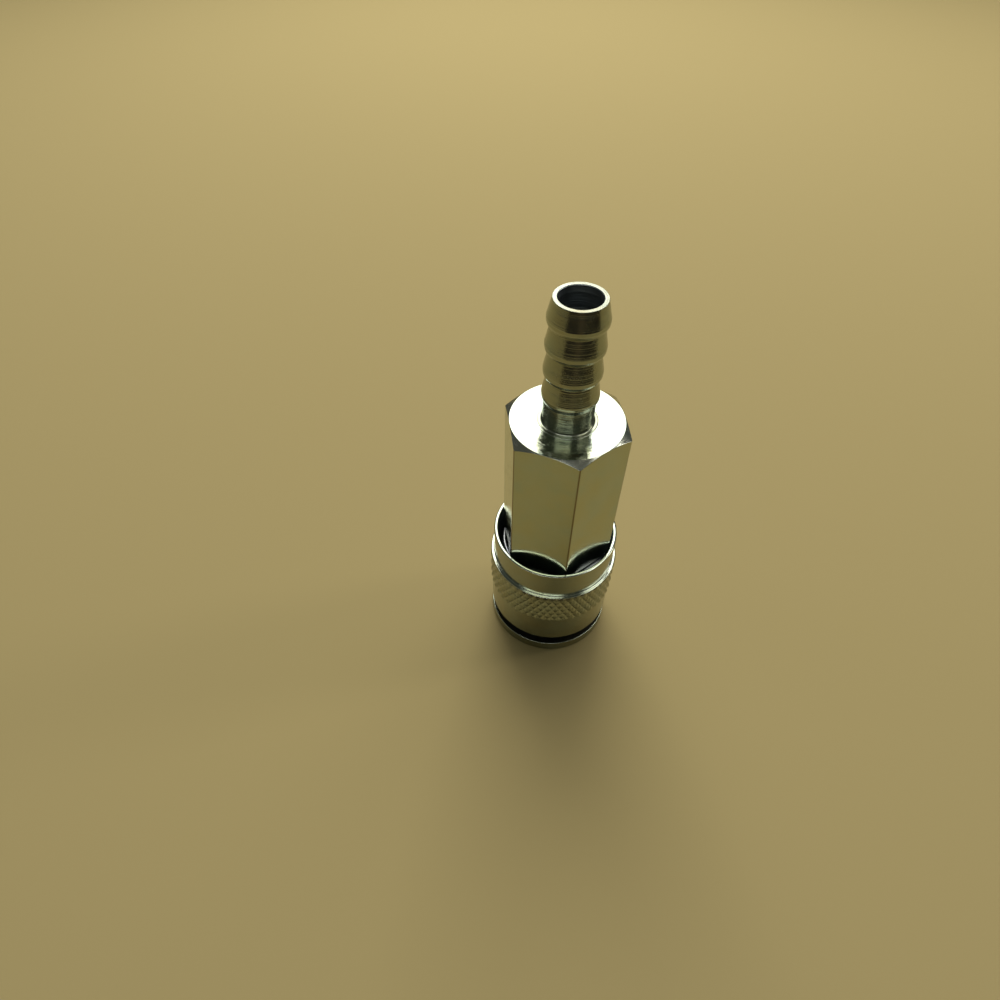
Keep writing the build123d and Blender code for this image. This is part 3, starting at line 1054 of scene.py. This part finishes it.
# ---------------------------------------------------------------------------------------------
# Spring seat ring: a washer stamped from plated strip, its edges rounded by tumbling. It slides
# with the sleeve and the sleeve turns on it.
# ---------------------------------------------------------------------------------------------
seat_inner = barrel_r + 0.1
seat_outer = ring_high.x / MM
seat_z0 = ring_low.z / MM
seat_z1 = ring_high.z / MM
seat_outline = rounded_corners(
    [
        (seat_inner, seat_z0, 0.1),
        (seat_outer, seat_z0, 0.2),
        (seat_outer, seat_z1, 0.1),
        (seat_inner, seat_z1, 0.2),
    ]
)
seat_ring = ring_piece("stamped_seat_ring", even_angles(128), lambda index: seat_outline)
seat_ring.data.materials.append(plated_steel("stamped_washer", "radius", 0.004, 0.2, scratched=0.8))
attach(seat_ring, "sleeve_carrier")
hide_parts("spring_seat_ring")


# ---------------------------------------------------------------------------------------------
# Seals: moulded black nitrile rubber with a faint bloom and the matt grain of the mould. Two are
# rings in turned grooves, the third is the flat washer of the valve.
# ---------------------------------------------------------------------------------------------
nitrile = bpy.data.materials.new("black_nitrile")
nitrile.use_nodes = True
n = Nodes(nitrile.node_tree)
shader = nitrile.node_tree.nodes["Principled BSDF"]
seal_place = mm_place(n)
bloom = n.ramp(n.noise(seal_place, 0.9, 4.0, 0.6), 0.45, 0.75)
rubber_color = n.mix(bloom, (0.012, 0.012, 0.013, 1.0), (0.045, 0.044, 0.042, 1.0))
n.tree.links.new(rubber_color, shader.inputs["Base Color"])
n.tree.links.new(n.math("MULTIPLY_ADD", bloom, 0.2, 0.42), shader.inputs["Roughness"])
grain = n.noise(seal_place, 9.0, 3.0)
grain_bump = n.node("ShaderNodeBump", {"Height": grain, "Distance": 0.015 * MM})
n.tree.links.new(grain_bump.outputs[0], shader.inputs["Normal"])
for seal in ("plug_seal", "adapter_seal", "valve_seal"):
    refinish(seal, nitrile)


# ---------------------------------------------------------------------------------------------
# Valve: poppet, nose and guide turned from brass bar. The plug pushes the star-shaped nose, and
# the notched guide carries the stem and lets the air past its rim.
# ---------------------------------------------------------------------------------------------
brass = bpy.data.materials.new("turned_brass")
brass.use_nodes = True
n = Nodes(brass.node_tree)
shader = brass.node_tree.nodes["Principled BSDF"]
shader.inputs["Metallic"].default_value = 1.0
brass_place = mm_place(n)
brass_axes = n.node("ShaderNodeSeparateXYZ", {0: brass_place}).outputs
brass_rings = n.node(
    "ShaderNodeGroup", {"Place": brass_place, "Across": brass_axes["Z"]}, node_tree=lathe_marks
)
tarnish = n.ramp(n.noise(brass_place, 0.6, 4.0, 0.6), 0.4, 0.75)
brass_color = n.mix(tarnish, (0.80, 0.60, 0.26, 1.0), (0.45, 0.31, 0.13, 1.0))
n.tree.links.new(brass_color, shader.inputs["Base Color"])
n.tree.links.new(n.math("MULTIPLY_ADD", tarnish, 0.18, 0.2), shader.inputs["Roughness"])
brass_bump = n.node("ShaderNodeBump", {"Height": brass_rings.outputs["Height"], "Distance": 0.01 * MM})
n.tree.links.new(brass_bump.outputs[0], shader.inputs["Normal"])
for part in ("valve_poppet", "valve_nose", "valve_guide"):
    refinish(part, brass)
